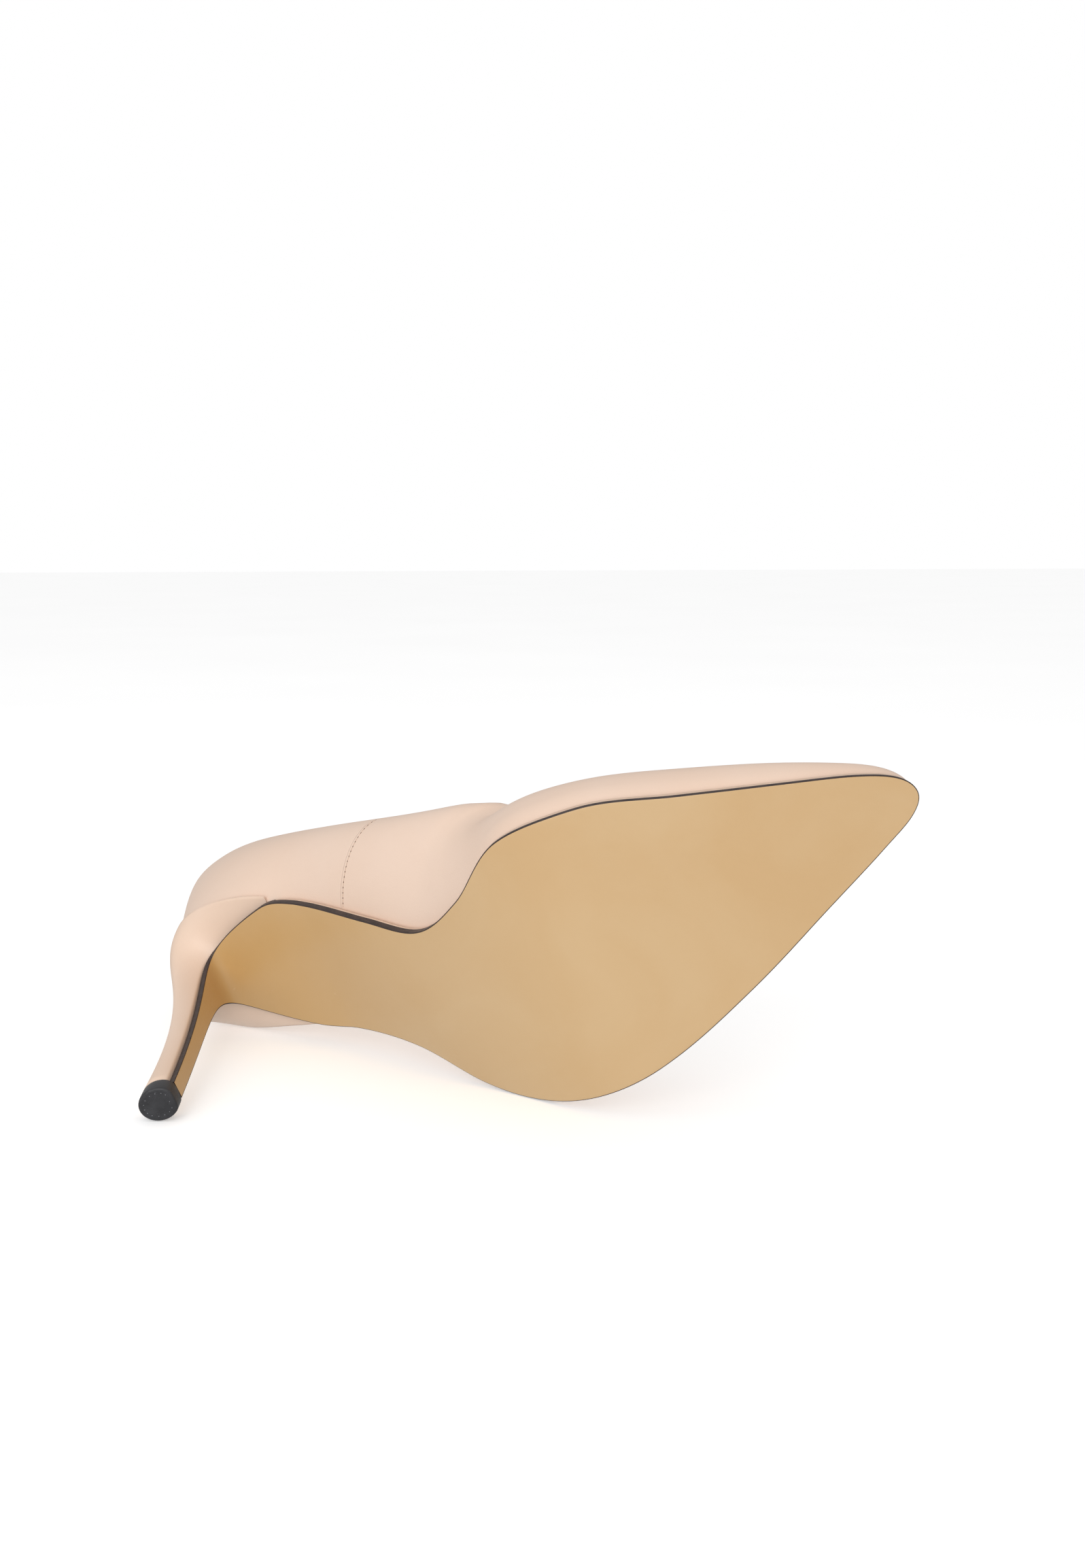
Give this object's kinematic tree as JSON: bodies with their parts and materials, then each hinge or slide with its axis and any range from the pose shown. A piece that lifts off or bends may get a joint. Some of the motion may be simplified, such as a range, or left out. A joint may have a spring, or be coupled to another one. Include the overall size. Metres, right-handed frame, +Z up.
{
  "type": "high heel pump",
  "caption": "Left-foot pointed-toe court shoe with a slim leather-covered stiletto heel and a smooth leather sole carried down the breast.",
  "frame": {"origin": "under the middle of the shoe's box, on the ground that the sole and heel tip stand on", "axes": "+X to the toe, +Y to the lateral side (the wearer's left), +Z up"},
  "size_m": [0.2238, 0.0814, 0.1455],
  "materials": {
    "upper_leather": "smooth nude-pink calf leather with a soft sheen",
    "heel_leather": "the upper's nude leather, stretched smooth round the heel",
    "lining_leather": "undyed pigskin lining, matt",
    "stiffener": "resin-stiffened cloth",
    "insole_fibreboard": "pressed cellulose board, matt",
    "tuck_fibreboard": "dense tuck board, matt",
    "foam": "open-cell foam, matt",
    "sock_leather": "smooth undyed leather, matt",
    "spring_steel": "tempered steel strip",
    "plain_steel": "bright drawn steel",
    "rivet_brass": "plain brass",
    "cork": "granulated cork, matt",
    "sole_leather": "smooth tan bend leather, satin, with an inked dark brown edge",
    "heel_plastic": "moulded heel plastic",
    "top_piece_rubber": "hard black rubber, matt, with a ring of tiny moulded dots"
  },
  "bodies": {
    "root": {"vamp_upper": "upper_leather", "back_quarter": "upper_leather", "vamp_lining": "lining_leather", "quarter_lining": "lining_leather", "toe_puff": "stiffener", "heel_counter": "stiffener", "insole_board": "insole_fibreboard", "tuck_board": "tuck_fibreboard", "ball_pad": "foam", "sock_lining": "sock_leather", "steel_shank": "spring_steel", "shank_rivet_rear": "rivet_brass", "shank_rivet_front": "rivet_brass", "forepart_filler": "cork", "outsole": "sole_leather", "heel_core": "heel_plastic", "heel_cover": "heel_leather", "heel_tube": "plain_steel", "heel_screw": "plain_steel", "heel_nail_1": "plain_steel", "heel_nail_2": "plain_steel", "heel_nail_3": "plain_steel", "heel_nail_4": "plain_steel", "top_piece": "top_piece_rubber", "top_piece_dowel": "plain_steel"}
  },
  "joints": []
}
